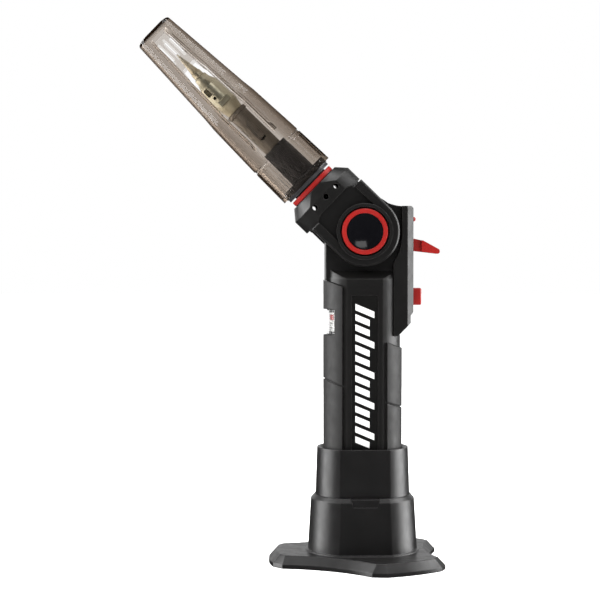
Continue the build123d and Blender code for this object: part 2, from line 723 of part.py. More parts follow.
def mixer_tube():
    tube = rod_z(4.1, 39.5, 58.0) - rod_z(3.2, 38, 60)
    for turn in (0, 90, 180, 270):
        tube -= Rot(0, 0, turn) * rod_x(1.0, 2, 6, z=42.5)
    return tube


def electrode():
    rod = rod_z(0.45, 30.0, 55.0, -5.2)
    return rod + rod_z(0.75, 38.0, 48.0, -5.2)


def neck_ring():
    ring = rod_z(13.0, NECK_U, 35.1) - rod_z(SPIGOT_R, 30, 40)
    return fillet(round_edges(ring, 12), 0.5)


def neck_flange():
    seat = SLEEVE_U[0]
    flange = rod_z(SPIGOT_R, 28.0, 36.0) + rod_z(13.3, 35.9, seat)
    flange += extrude(flatted(13.8, 11.0, seat), 41.0 - seat)
    flange -= rod_z(7.6, 20, 50)
    return flange - rod_z(8.4, seat, 50)


def burner_sleeve():
    low, high = SLEEVE_U
    sleeve = rod_z(8.4, low, low + 2.5) + Pos(0, 0, (low + 2.5 + high) / 2) * Cone(8.2, 7.4, high - low - 2.5)
    for turn in range(0, 360, 30):
        sleeve -= Rot(0, 0, turn) * rod_z(0.6, low + 6, low + 16, 8.4)
    sleeve -= rod_z(6.1, low - 1, TUBE_U[0])
    return sleeve - rod_z(TUBE_R, 50, high + 1)


def burner_tube():
    low, high = TUBE_U
    tube = rod_z(TUBE_R, low, high) - rod_z(TUBE_R - 0.7, low - 1, high + 1)
    slot = block((-1.6, 1.6), (-10, 0), (67, 79))
    return tube - fillet(slot.edges().filter_by(Axis.Y), 1.5)


def tip_ring():
    ring = rod_z(5.6, 84.8, 87.0) - rod_z(TUBE_R, 80, 90)
    return chamfer(round_edges(ring, 5.5), 0.3)


def catalyst():
    return rod_z(TUBE_R - 0.75, 68.5, 80.0)


TIP_PROFILE = ((87.0, 4.5), (88.2, 4.6), (92.0, 5.5), (105.5, 5.2), (109.0, 3.7), (111.4, 3.4), (112.0, 2.7),
               (114.6, 2.6), (115.2, 2.2), (127.5, 0.35))


def soldering_tip():
    """A barrel with exhaust openings, drawn in to a neck that carries the pointed bit."""
    outline = Polyline((0, 87.0), *[(radius, u) for u, radius in TIP_PROFILE], (0, 127.5), (0, 87.0))
    tip = revolve(Plane.XZ * make_face(outline), Axis.Z)
    tip += rod_z(TUBE_R - 0.75, 83.0, 87.0)
    tip -= rod_z(3.0, 80, 104)
    tip -= Rot(0, 0, -30) * rod_y(0.9, -10, 0, z=98.6)
    for turn in (-40, 140):
        opening = block((-1.5, 1.5), (-10, 0), (100.6, 105.0))
        tip -= Rot(0, 0, turn) * fillet(opening.edges().filter_by(Axis.Y), 0.6)
    for side in (-1, 1):
        tip -= block((-10, 10), sorted((side * 4.4, side * 10)), (93.0, 96.0))
    return tip


# --- Cap -------------------------------------------------------------------------------
CAP_PROFILE = ((37.8, 15.8), (60.0, 15.3), (88.0, 14.2), (95.0, 13.5), (143.7, 10.4))
CAP_FLAT = ((37.8, 13.0), (60.0, 12.6), (95.0, 10.7), (143.7, 8.5))
CAP_FIELD = ((40.0, 7.4), (60.0, 7.3), (97.0, 6.9), (101.0, 6.0), (126.0, 5.6), (130.0, 5.0), (140.4, 4.8))
CAP_WINDOW = ((93.0, 4.6), (95.0, 5.6), (112.0, 5.3), (119.0, 4.0))
CAP_SLOT_U = (125.0, 136.6)
CAP_SLOT_PITCH = 3.5


def cap_body(inset, low, high):
    """The cap's tapering round form with flats front and back, shrunk by the inset."""
    side = [(radius - inset, u) for u, radius in CAP_PROFILE]
    side[0] = (side[0][0], low)
    side[-1] = (side[-1][0], high)
    outline = Plane.XZ * make_face(Polyline((0, low), *side, (0, high), (0, low)))
    body = revolve(outline, Axis.Z)
    flat = [(half - inset, u) for u, half in CAP_FLAT]
    below, above = low - 5, high + 5
    keep = make_face(Polyline((0, below), (flat[0][0], below), *flat, (flat[-1][0], above), (0, above), (0, below)))
    keep += mirror(keep, Plane.YZ)
    return body & extrude(Plane.YZ * keep, 40, both=True)


def mirrored_face(side):
    """A face in X and Z from its right-hand side, given as height and half width."""
    right = [(half, u) for u, half in side]
    left = [(-half, u) for u, half in reversed(side)]
    return make_face(Polyline(*right, *left, right[0]))


def protective_cap():
    low, high = CAP_U
    cap = cap_body(0, low, high)
    cap = fillet(cap.faces().sort_by(Axis.Z)[-1].edges(), 1.2)
    cap -= across(mirrored_face(CAP_FIELD), 40) - cap_body(CAP_RECESS, low, high)
    # A groove parts the skirt from the cap above it, and flutes run down the skirt's sides.
    groove = rod_z(20, SKIRT_U - 0.6, SKIRT_U + 0.6) - cap_body(0.5, low, high)
    cap -= groove - block((-8.8, 8.8), (-30, 30), (0, 200))
    for side in (0, 180):
        for step in range(-4, 5):
            cap -= Rot(0, 0, side + 6.6 * step) * rod_z(0.7, low + 1.6, SKIRT_U - 1.8, 16.0)
    cap -= cap_body(CAP_WALL, low - 1, high - 2.2)
    cap -= across(mirrored_face(CAP_WINDOW), 40)
    for x in (-CAP_SLOT_PITCH, 0, CAP_SLOT_PITCH):
        slot = block((x - 0.8, x + 0.8), (-30, 30), CAP_SLOT_U)
        cap -= fillet(slot.edges().filter_by(Axis.Y), 0.7)
    return cap


# --- All parts -------------------------------------------------------------------------
def torch_parts():
    shell_front, shell_rear = body_shell_pair()
    screws = [body_screw(x, z, rear) - drive_cross(x, rear - 1.4, z) for x, z, rear in SCREW_PLACES]
    return {
        "body_shell_front": shell_front,
        "body_shell_rear": shell_rear,
        "front_panel": front_panel(),
        "grip_left": grip(180, LEFT_GRIP_TOP),
        "grip_right": grip(0, RIGHT_GRIP_TOP),
        "level_window": level_window(),
        "control_housing": control_housing(),
        "shell_screws": Compound(screws),
        "flow_lever": flow_lever(),
        "valve_spindle": valve_spindle(),
        "lock_pin": lock_pin(),
        "lock_spring": lock_spring(),
        "ignition_button": ignition_button(),
        "piezo_unit": piezo_unit(),
        "piezo_plunger": piezo_plunger(),
        "button_spring": button_spring(),
        "fuel_tank": fuel_tank(),
        "tank_plug": tank_plug(),
        "valve_body": valve_body(),
        "valve_stem": valve_stem(),
        "valve_spring": valve_spring(),
        "valve_seal": valve_seal(),
        "gas_valve": gas_valve(),
        "gas_tube": gas_tube(),
        "ignition_lead": ignition_lead(),
        "pivot_axle": pivot_axle(),
        "pivot_seals": pivot_seals(),
        "index_wheel": index_wheel(),
    }


def head_parts():
    shell_front, shell_rear = head_shell_pair()
    screws = [head_screw(x, u) - drive_cross(x, 8.9, u, 1.1) for x, u in HEAD_SCREWS]
    parts = {
        "head_shell_front": shell_front,
        "head_shell_rear": shell_rear,
        "head_screws": Compound(screws),
        "pivot_ring": pivot_ring(),
        "pivot_button": pivot_button(),
        "index_pawl": index_pawl(),
        "pawl_spring": pawl_spring(),
        "pivot_cap": pivot_cap(),
        "head_tube": head_tube(),
        "head_lead": head_lead(),
    }
    return {name: head_place(part) for name, part in parts.items()}


def burner_parts():
    parts = {
        "jet_nozzle": jet_nozzle(),
        "mixer_tube": mixer_tube(),
        "electrode": electrode(),
        "neck_ring": neck_ring(),
        "neck_flange": neck_flange(),
        "burner_sleeve": burner_sleeve(),
        "burner_tube": burner_tube(),
        "tip_ring": tip_ring(),
        "catalyst": catalyst(),
        "soldering_tip": soldering_tip(),
        "protective_cap": protective_cap(),
    }
    return {name: head_place(Pos(NECK_OFFSET, 0, 0) * part) for name, part in parts.items()}


parts = {"stand_foot": stand_foot(), "stand_collar": stand_collar()}
parts.update(torch_parts())
parts.update(head_parts())
parts.update(burner_parts())
os.makedirs("parts", exist_ok=True)
for name, part in parts.items():
    export_step(part, f"parts/{name}.step")
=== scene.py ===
import json
from math import atan2, cos, pi, radians, sin, sqrt

import bmesh
import bpy
from mathutils import Matrix, Vector


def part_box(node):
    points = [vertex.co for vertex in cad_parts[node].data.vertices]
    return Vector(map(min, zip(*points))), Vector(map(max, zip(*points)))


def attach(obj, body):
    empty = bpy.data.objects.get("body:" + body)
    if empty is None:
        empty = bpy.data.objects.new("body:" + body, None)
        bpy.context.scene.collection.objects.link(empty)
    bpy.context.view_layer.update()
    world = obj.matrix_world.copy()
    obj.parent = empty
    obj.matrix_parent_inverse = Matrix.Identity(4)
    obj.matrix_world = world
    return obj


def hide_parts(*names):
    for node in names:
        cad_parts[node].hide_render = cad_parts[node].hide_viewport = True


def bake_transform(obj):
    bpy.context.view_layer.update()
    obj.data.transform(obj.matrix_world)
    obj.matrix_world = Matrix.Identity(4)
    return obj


# Looks for the butane torch. Metres, in the row frame: the origin is on the floor under the
# handle, the front panel faces -Y, and the head leans towards -X.
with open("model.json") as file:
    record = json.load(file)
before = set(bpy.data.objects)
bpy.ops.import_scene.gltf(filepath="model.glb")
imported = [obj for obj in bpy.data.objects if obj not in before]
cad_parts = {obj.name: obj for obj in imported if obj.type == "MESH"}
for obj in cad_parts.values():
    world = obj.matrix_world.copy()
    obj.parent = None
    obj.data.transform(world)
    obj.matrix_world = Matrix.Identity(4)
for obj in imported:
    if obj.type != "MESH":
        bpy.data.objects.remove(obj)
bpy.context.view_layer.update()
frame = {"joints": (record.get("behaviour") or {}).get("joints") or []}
joints = {joint["name"]: joint for joint in frame["joints"]}
PIVOT = Vector(joints["head_tilt"]["pos_m"])
HEAD_AXIS = Vector(joints["cap_pull"]["axis"])
TILT = atan2(-HEAD_AXIS.x, HEAD_AXIS.z)
MM = 0.001
BLACK_EDGE = 0.7
CLEAR_IOR = 1.18
TIP_REACH = (0.087, 0.1275)
STUDIO_MIDDLE = (0.0, 0.0, 0.13)
FLOOR_RADIUS = 6.0

# Bars printed down the front panel. Every third one is wide.
MOTIF_BARS = 14
MOTIF_WIDE = 9.3 * MM
MOTIF_NARROW = 7.0 * MM
MOTIF_LEFT = 1.7 * MM
MOTIF_PITCH = 5.0 * MM
MOTIF_BAR = 3.1 * MM
MOTIF_SLOPE = 0.42
MOTIF_TOP = 0.965
PRINT_DEPTH = 0.05 * MM
PRINT_BEVEL = 0.02 * MM

# The level scale: its label, the red mark that shows full, and the ticks below it.
LABEL_GAP = 1.45 * MM
LABEL_HALF_SPREAD = radians(35)
LABEL_THICKNESS = 0.06 * MM
LABEL_REACH = (-4.7 * MM, 4.9 * MM)
MARK_HALF_SPREAD = radians(28)
MARK_REACH = (0.9 * MM, 3.7 * MM)
TICKS = 4
TICK_TOP = -0.3 * MM
TICK_PITCH = 1.15 * MM
TICK_HEIGHT = 0.55 * MM
TICK_LONG = radians(24)
TICK_SHORT = radians(15)

# Each return spring: its node, its wire in millimetres, its turns, its axis (0 is X), and the
# bodies at its low and high ends.
SPRINGS = (
    ("lock_spring", 0.4, 3, 0, "torch", "lock"),
    ("button_spring", 0.6, 4, 0, "torch", "ignition"),
    ("valve_spring", 0.4, 4, 2, "valve_stem", "torch"),
    ("pawl_spring", 0.5, 2, 1, "release", "head"),
)
SPRING_STEPS = 20
WIRE_SIDES = 8

# The cap in millimetres, upright about its own axis. Heights are measured from the pivot, and
# each table pairs a height with a radius, a half width or a thickness.
CAP_AXIS_X = -1.0
CAP_LOW = 37.8
CAP_HIGH = 143.7
CAP_WALL = ((41.4, 1.8), (42.6, 2.1), (88.0, 1.9), (97.0, 1.6))
CAP_SIDE = ((37.8, 15.8), (60.0, 15.3), (88.0, 14.2), (95.0, 13.5), (143.7, 10.4))
CAP_FLAT = ((37.8, 13.0), (60.0, 12.6), (95.0, 10.7), (143.7, 8.5))
CAP_FIELD = (
    (40.0, 7.4), (60.0, 7.3), (97.0, 6.9), (101.0, 6.0),
    (126.0, 5.6), (130.0, 5.0), (140.4, 4.8),
)
CAP_WINDOW = ((93.0, 4.6), (95.0, 5.6), (112.0, 5.3), (119.0, 4.0))
CAP_SLOT = (125.0, 136.6)
CAP_SLOT_PITCH = 3.5
CAP_SLOT_HALF = 0.75
CAP_SKIRT = 58.4
CAP_RECESS = 0.6
CAP_ROUND = 1.2
CAP_ROUND_STEPS = 6
CAP_END = 1.4
CAP_ARC_STEPS = 44
CAP_LEVELS = 44
CAP_SHARP = radians(28)
FIELD_MARGIN = 1.4
RIB_DEPTH = 3.0
RIB_HALF = 0.45
RIB_START = (64.0, 72.0)
RIB_STOP = (139.0, 140.4)
RIM_SHARE = 0.975
CORNER_SHARE = 0.985
FLUTES = 26
FLUTE_DEPTH = 0.35
GROOVE_DEPTH = 0.5
CUT_HALF = 30.0
LEAST_STEP = 0.12


# --- Node helpers ----------------------------------------------------------------------
def add(tree, kind, inputs=None, **settings):
    """A new node; an input is either another node's output or a plain value."""
    made = tree.nodes.new(kind)
    for name, value in settings.items():
        setattr(made, name, value)
    for name, value in (inputs or {}).items():
        if isinstance(value, bpy.types.NodeSocket):
            tree.links.new(value, made.inputs[name])
        else:
            made.inputs[name].default_value = value
    return made


def cleared(slot):
    """The imported material of a slot, with an empty node tree to build in."""
    material = bpy.data.materials[slot]
    material.use_nodes = True
    material.node_tree.nodes.clear()
    return material.node_tree


def shade(colour, factor):
    """A colour made lighter or darker, with an alpha of one."""
    return tuple(min(1.0, channel * factor) for channel in colour[:3]) + (1.0,)


def place_of(tree):
    """Object coordinates, which are metres in the row frame."""
    return add(tree, "ShaderNodeTexCoord").outputs["Object"]


def noise(tree, place, scale, detail=3.0, roughness=0.55):
    """Fractal noise, mostly between 0.3 and 0.7."""
    made = add(tree, "ShaderNodeTexNoise",
               {"Vector": place, "Scale": scale, "Detail": detail, "Roughness": roughness})
    return made.outputs["Fac"]


def remap(tree, value, from_low, from_high, to_low, to_high):
    """A value moved from one range to another, and held within it."""
    made = add(tree, "ShaderNodeMapRange", {"Value": value, "From Min": from_low, "From Max": from_high,
                                            "To Min": to_low, "To Max": to_high})
    return made.outputs["Result"]


def mixed(tree, factor, first, second):
    """Two colours mixed by a factor."""
    made = add(tree, "ShaderNodeMix", data_type="RGBA")
    for index, value in ((0, factor), (6, first), (7, second)):
        if isinstance(value, bpy.types.NodeSocket):
            tree.links.new(value, made.inputs[index])
        else:
            made.inputs[index].default_value = value
    return made.outputs[2]


def rounded_normal(tree, radius):
    """The surface normal with sharp edges rounded over."""
    return add(tree, "ShaderNodeBevel", {"Radius": radius}, samples=6).outputs["Normal"]


def edge_wear_and_highlight_mask(tree, normal, place):
    """One along edges and zero on open faces, broken up by noise: the edges that are lightened, partly as
    wear and partly as a painted highlight.
    """
    flat = add(tree, "ShaderNodeNewGeometry").outputs["Normal"]
    turn = add(tree, "ShaderNodeVectorMath", {0: normal, 1: flat}, operation="DOT_PRODUCT")
    edge = remap(tree, turn.outputs["Value"], 0.995, 0.86, 0.0, 1.0)
    patchy = remap(tree, noise(tree, place, 700.0), 0.35, 0.65, 0.25, 1.0)
    return add(tree, "ShaderNodeMath", {0: edge, 1: patchy}, operation="MULTIPLY").outputs[0]


def finish_tree(tree, shader, volume=None):
    """The material's output, for a surface and perhaps a volume."""
    out = add(tree, "ShaderNodeOutputMaterial", {"Surface": shader.outputs["BSDF"]})
    if volume is not None:
        tree.links.new(volume.outputs["Volume"], out.inputs["Volume"])


# --- Materials -------------------------------------------------------------------------
def solid(slot, colour, roughness, wear_and_highlight=1.6, grain=(2600.0, 0.02), edge=0.35, metallic=0.0,
          specular=0.5, spread=0.06, brushed=None):
    """An opaque finish: uneven colour and gloss, fine grain, and edges lightened partly by wear and partly by
    a painted highlight.
    """
    tree = cleared(slot)
    place = place_of(tree)
    normal = rounded_normal(tree, edge * MM)
    broad = noise(tree, place, 55.0, 4.0)
    base = mixed(tree, remap(tree, broad, 0.3, 0.7, 0.0, 1.0), shade(colour, 0.86), shade(colour, 1.14))
    # Edges made lighter: partly wear, partly a painted edge highlight.
    tint = mixed(tree, edge_wear_and_highlight_mask(tree, normal, place), base, shade(colour, wear_and_highlight))
    gloss = remap(tree, noise(tree, place, 230.0, 5.0), 0.3, 0.7, roughness - spread, roughness + spread)
    grain_place = place
    if brushed is not None:
        grain_place = add(tree, "ShaderNodeMapping", {"Vector": place, "Scale": brushed}).outputs["Vector"]
    fine = noise(tree, grain_place, grain[0], 2.0, 0.6)
    bump = add(tree, "ShaderNodeBump", {"Height": fine, "Normal": normal, "Strength": 0.6,
                                        "Distance": grain[1] * MM})
    shader = add(tree, "ShaderNodeBsdfPrincipled", {
        "Base Color": tint, "Roughness": gloss, "Normal": bump.outputs["Normal"],
        "Metallic": metallic, "Specular IOR Level": specular})
    finish_tree(tree, shader)


def clear_plastic(slot, absorb, density, roughness):
    """Transparent moulding, tinted through its thickness."""
    tree = cleared(slot)
    place = place_of(tree)
    gloss = remap(tree, noise(tree, place, 300.0, 4.0), 0.3, 0.7, roughness * 0.6, roughness * 1.4)
    ripple = noise(tree, place, 60.0, 1.0)
    bump = add(tree, "ShaderNodeBump", {"Height": ripple, "Strength": 0.04, "Distance": 0.02 * MM})
    shader = add(tree, "ShaderNodeBsdfPrincipled", {
        "Base Color": (1.0, 1.0, 1.0, 1.0), "Roughness": gloss, "IOR": CLEAR_IOR,
        "Transmission Weight": 1.0, "Normal": bump.outputs["Normal"]})
    volume = add(tree, "ShaderNodeVolumeAbsorption", {"Color": absorb + (1.0,), "Density": density})
    finish_tree(tree, shader, volume)


def gauze_look():
    """Fine woven wire, seen through the slot in the burner tube."""
    tree = cleared("gauze")
    place = place_of(tree)
    weave = add(tree, "ShaderNodeTexWave", {"Vector": place, "Scale": 900.0, "Distortion": 0.4},
                bands_direction="DIAGONAL")
    tint = mixed(tree, weave.outputs["Fac"], (0.05, 0.045, 0.04, 1.0), (0.34, 0.31, 0.27, 1.0))
    bump = add(tree, "ShaderNodeBump", {
        "Height": weave.outputs["Fac"], "Strength": 0.8, "Distance": 0.15 * MM})
    gloss = remap(tree, noise(tree, place, 800.0), 0.3, 0.7, 0.35, 0.6)
    shader = add(tree, "ShaderNodeBsdfPrincipled", {"Base Color": tint, "Roughness": gloss, "Metallic": 0.8,
                                                    "Normal": bump.outputs["Normal"]})
    finish_tree(tree, shader)


def tip_look():
    """Plated copper, tinned at the point and tinted straw and brown where it gets hottest."""
    tree = cleared("tip_metal")
    place = place_of(tree)
    normal = rounded_normal(tree, 0.3 * MM)
    along = add(tree, "ShaderNodeVectorMath", {0: place, 1: tuple(HEAD_AXIS)}, operation="DOT_PRODUCT")
    tip_low, tip_high = [PIVOT.dot(HEAD_AXIS) + height for height in TIP_REACH]
    reach = remap(tree, along.outputs["Value"], tip_low, tip_high, 0.0, 1.0)
    blotch = add(tree, "ShaderNodeMath", {0: noise(tree, place, 320.0, 4.0), 1: 0.16}, operation="MULTIPLY")
    shifted = add(tree, "ShaderNodeMath", {0: reach, 1: blotch.outputs[0]}, operation="ADD")
    ramp = add(tree, "ShaderNodeValToRGB", {"Fac": shifted.outputs[0]})
    stops = ((0.0, (0.32, 0.29, 0.21)), (0.35, (0.40, 0.37, 0.27)), (0.62, (0.47, 0.43, 0.32)),
             (0.80, (0.36, 0.30, 0.20)), (1.0, (0.55, 0.52, 0.44)))
    elements = ramp.color_ramp.elements
    while len(elements) < len(stops):
        elements.new(0.5)
    for element, (position, colour) in zip(elements, stops):
        element.position = position
        element.color = colour + (1.0,)
    # Edges lightened towards a paler tone: partly wear, partly a painted edge highlight.
    tint = mixed(tree, edge_wear_and_highlight_mask(tree, normal, place), ramp.outputs["Color"], (0.42, 0.39, 0.31, 1.0))
    gloss = remap(tree, noise(tree, place, 500.0, 4.0), 0.3, 0.7, 0.28, 0.5)
    fine = noise(tree, place, 1500.0, 3.0)
    bump = add(tree, "ShaderNodeBump", {
        "Height": fine, "Normal": normal, "Strength": 0.5, "Distance": 0.02 * MM})
    shader = add(tree, "ShaderNodeBsdfPrincipled", {"Base Color": tint, "Roughness": gloss, "Metallic": 0.85,
                                                    "Normal": bump.outputs["Normal"]})
    finish_tree(tree, shader)


def make_looks():
    """Every slot's look. The blacks share a soft edge and a low specular level."""
    black = dict(specular=0.25, edge=BLACK_EDGE)
    # The edge factors below lighten the edges: partly wear, partly a painted edge highlight.
    solid("moulded_black", (0.0086, 0.0082, 0.0079), 0.40, wear_and_highlight=3.4, grain=(3000.0, 0.03), **black)
    solid("grip_black", (0.0105, 0.0100, 0.0097), 0.55, wear_and_highlight=2.4, grain=(1700.0, 0.09), **black)
    solid("stand_black", (0.0088, 0.0084, 0.0085), 0.36, wear_and_highlight=3.2, grain=(2600.0, 0.03), **black)
    solid("panel_black", (0.0062, 0.0060, 0.0057), 0.38, wear_and_highlight=4.0, grain=(2200.0, 0.012), specular=0.15)
    solid("gloss_black", (0.004, 0.004, 0.005), 0.10, wear_and_highlight=3.0, grain=(900.0, 0.004), specular=0.35,
          spread=0.04)
    solid("red_plastic", (0.28, 0.007, 0.005), 0.34, wear_and_highlight=1.3, grain=(2400.0, 0.015), specular=0.25)
    solid("tank_nylon", (0.50, 0.48, 0.42), 0.45, wear_and_highlight=1.1, grain=(1200.0, 0.03))
    solid("brass", (0.62, 0.43, 0.17), 0.32, wear_and_highlight=1.3, metallic=1.0)
    solid("steel", (0.15, 0.135, 0.115), 0.38, wear_and_highlight=1.5, metallic=1.0, grain=(700.0, 0.02),
          brushed=(1.0, 9.0, 1.0))
    solid("spring_steel", (0.34, 0.33, 0.31), 0.3, wear_and_highlight=1.3, metallic=1.0)
    solid("sleeve_black", (0.028, 0.027, 0.029), 0.38, wear_and_highlight=3.0, grain=(2400.0, 0.02), specular=0.3)
    solid("seal_rubber", (0.012, 0.012, 0.012), 0.65, wear_and_highlight=1.5, grain=(1500.0, 0.04))
    solid("ceramic", (0.72, 0.69, 0.62), 0.4, wear_and_highlight=1.05, grain=(1800.0, 0.02))
    solid("lead_red", (0.42, 0.02, 0.02), 0.45, wear_and_highlight=1.3)
    solid("silicone", (0.42, 0.40, 0.38), 0.5, wear_and_highlight=1.1)
    for name in ("print_white", "label_paper", "label_ink"):
        bpy.data.materials.new(name)
    solid("print_white", (0.80, 0.80, 0.79), 0.42, wear_and_highlight=1.0, grain=(1500.0, 0.01), edge=0.1)
    solid("label_paper", (0.62, 0.62, 0.60), 0.5, wear_and_highlight=1.0, grain=(1500.0, 0.01), edge=0.1)
    solid("label_ink", (0.02, 0.02, 0.02), 0.5, wear_and_highlight=1.0, grain=(1500.0, 0.01), edge=0.1)
    gauze_look()
    tip_look()
    clear_plastic("smoke_clear", (0.56, 0.50, 0.44), 620.0, 0.02)
    clear_plastic("window_clear", (0.86, 0.88, 0.86), 60.0, 0.06)


# --- Pieces ----------------------------------------------------------------------------
def piece(name, grid, material, body):
    """A new object from a bmesh, in its material, riding on a body."""
    mesh = bpy.data.meshes.new(name)
    bmesh.ops.recalc_face_normals(grid, faces=grid.faces)
    grid.to_mesh(mesh)
    grid.free()
    mesh.materials.append(bpy.data.materials[material])
    made = bpy.data.objects.new(name, mesh)
    bpy.context.scene.collection.objects.link(made)
    if body:
        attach(made, body)
    return made


def closed_plate(grid, front, back):
    """A solid between two outlines that have the same number of points."""
    near = [grid.verts.new(point) for point in front]
    far = [grid.verts.new(point) for point in back]
    grid.faces.new(near)
    grid.faces.new(far[::-1])
    count = len(near)
    for index in range(count):
        after = (index + 1) % count
        grid.faces.new((near[index], far[index], far[after], near[after]))


def panel_motif():
    """A plain ladder of slanting bars printed down the front panel."""
    panel_low, panel_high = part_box("front_panel")
    face = panel_low.y
    length = panel_high.z - panel_low.z
    top = panel_low.z + MOTIF_TOP * length
    left = panel_low.x + MOTIF_LEFT
    grid = bmesh.new()
    for step in range(MOTIF_BARS):
        wide = MOTIF_WIDE if step % 3 == 0 else MOTIF_NARROW
        high = top - step * MOTIF_PITCH
        drop = MOTIF_SLOPE * wide
        outline = ((left, high), (left + wide, high - drop),
                   (left + wide, high - drop - MOTIF_BAR), (left, high - MOTIF_BAR))
        closed_plate(grid, [(x, face - PRINT_DEPTH, z) for x, z in outline],
                     [(x, face + PRINT_DEPTH, z) for x, z in outline])
    bmesh.ops.bevel(grid, geom=list(grid.edges), offset=PRINT_BEVEL, segments=1, affect="EDGES")
    piece("panel_motif", grid, "print_white", "torch")


def curved_patch(grid, radius, spread, low, high, thickness=LABEL_THICKNESS, steps=24):
    """A thin plate bent round the handle's axis, facing -X."""
    angles = [pi - spread + 2 * spread * step / steps for step in range(steps + 1)]
    rows = []
    for r, z in ((radius, low), (radius, high), (radius + thickness, high), (radius + thickness, low)):
        rows.append([grid.verts.new((r * cos(a), r * sin(a), z)) for a in angles])
    for first, second in zip(rows, rows[1:] + rows[:1]):
        for index in range(steps):
            grid.faces.new((first[index], first[index + 1], second[index + 1], second[index]))
    for end in (0, steps):
        grid.faces.new([row[end] for row in rows])


def at(table, u):
    """A value read off a table of heights and values, straight between its rows."""
    if u <= table[0][0]:
        return table[0][1]
    for (u0, v0), (u1, v1) in zip(table, table[1:]):
        if u <= u1:
            return v0 + (v1 - v0) * (u - u0) / (u1 - u0)
    return table[-1][1]


def ease(value, low, high):
    """Zero below low, one above high, and smooth between."""
    share = min(1.0, max(0.0, (value - low) / (high - low)))
    return share * share * (3 - 2 * share)


def skirt_relief(u, angle):
    """How far the skirt's flutes and the groove above it sink into the cap's round sides."""
    fluted = ease(u, CAP_LOW + 1.4, CAP_LOW + 2.6) * (1 - ease(u, CAP_SKIRT - 2.6, CAP_SKIRT - 1.4))
    grooved = ease(u, CAP_SKIRT - 0.8, CAP_SKIRT - 0.4) - ease(u, CAP_SKIRT + 0.4, CAP_SKIRT + 0.8)
    return FLUTE_DEPTH * fluted * (0.5 - 0.5 * cos(FLUTES * angle)) + GROOVE_DEPTH * grooved


def cap_quarter(u, wall, outside):
    """A quarter of the cap's outline from its side to the middle of its flat, as X and Y.

    The outer skin has the sunk field and the skirt's relief, and the inner one has the ribs.
    """
    radius = at(CAP_SIDE, u) - wall
    flat = at(CAP_FLAT, u) - wall
    corner_x = sqrt(radius ** 2 - flat ** 2)
    corner = atan2(flat, corner_x) * CORNER_SHARE
    points = []
    for step in range(CAP_ARC_STEPS):
        angle = corner * step / (CAP_ARC_STEPS - 1)
        r = radius - (skirt_relief(u, angle) if outside else 0.0)
        points.append((r * cos(angle), r * sin(angle)))
    field = min(at(CAP_FIELD, u), corner_x - FIELD_MARGIN)
    rim = corner_x * RIM_SHARE
    depth = 0.0
    rib = 0.0
    if outside:
        field_low, field_high = CAP_FIELD[0][0], CAP_FIELD[-1][0]
        depth = CAP_RECESS * ease(u, field_low - 0.3, field_low) * (1 - ease(u, field_high, field_high + 0.3))
    else:
        rib = RIB_DEPTH * ease(u, *RIB_START) * (1 - ease(u, *RIB_STOP))
    points += [
        (rim, flat),
        (rim - RIB_HALF * 0.7, flat - rib * 0.7),
        (rim - RIB_HALF * 1.4, flat),
        (field + RIB_HALF, flat),
        (field, flat - depth / 2 - rib),
        (field - RIB_HALF, flat - depth),
    ]
    points += [((field - RIB_HALF) * share, flat - depth) for share in (0.75, 0.5, 0.25, 0.0)]
    return points


def cap_outline(u, wall, outside):
    """The whole outline, from four mirrored quarters."""
    quarter = cap_quarter(u, wall, outside)
    front = [(x, -y) for x, y in quarter] + [(-x, -y) for x, y in reversed(quarter[:-1])]
    rear = [(-x, y) for x, y in quarter[1:]] + [(x, y) for x, y in reversed(quarter[1:-1])]
    return front + rear


def cap_heights(low, high):
    """Heights of the sections: close together at the steps, and even between."""
    marks = [low, high, *[u for u, _ in CAP_SIDE + CAP_FIELD]]
    skirt_steps = (CAP_LOW + 2.0, CAP_SKIRT - 2.0, CAP_SKIRT - 0.6, CAP_SKIRT + 0.6)
    for middle in (*skirt_steps, CAP_FIELD[0][0], CAP_FIELD[-1][0]):
        marks += [middle - 0.6, middle - 0.3, middle, middle + 0.3, middle + 0.6]
    marks += [low + (high - low) * level / CAP_LEVELS for level in range(CAP_LEVELS + 1)]
    kept = []
    for u in sorted(set(marks)):
        if low <= u <= high and (not kept or u - kept[-1] > LEAST_STEP):
            kept.append(u)
    return kept


def cap_skin(grid, sections):
    """Rings of points joined into a skin, from pairs of an outline and a height."""
    rings = [[grid.verts.new((x, y, u)) for x, y in outline] for outline, u in sections]
    for first, second in zip(rings, rings[1:]):
        count = len(first)
        for index in range(count):
            after = (index + 1) % count
            grid.faces.new((first[index], first[after], second[after], second[index]))
    return rings


def shrunk(outline, factor):
    """An outline scaled about the cap's axis."""
    return [(x * factor, y * factor) for x, y in outline]


def cap_shell():
    """The cap's wall and closed end: an outer skin, an inner skin and the rim that joins them."""
    grid = bmesh.new()
    outer = [(cap_outline(u, 0.0, True), u) for u in cap_heights(CAP_LOW, CAP_HIGH - CAP_ROUND)]
    last = outer[-1][0]
    for step in range(1, CAP_ROUND_STEPS + 1):
        turn = pi / 2 * step / CAP_ROUND_STEPS
        inset = CAP_ROUND * (1 - cos(turn))
        height = CAP_HIGH - CAP_ROUND + CAP_ROUND * sin(turn)
        outer.append((shrunk(last, 1 - inset / CAP_SIDE[-1][1]), height))
    inner = [(cap_outline(u, at(CAP_WALL, u), False), u) for u in cap_heights(CAP_LOW, CAP_HIGH - CAP_END)]
    outer_rings = cap_skin(grid, outer)
    inner_rings = cap_skin(grid, inner)
    grid.faces.new(outer_rings[-1])
    grid.faces.new(inner_rings[-1][::-1])
    first, second = outer_rings[0], inner_rings[0]
    for index in range(len(first)):
        after = (index + 1) % len(first)
        grid.faces.new((first[index], second[index], second[after], first[after]))
    bmesh.ops.recalc_face_normals(grid, faces=grid.faces)
    return grid


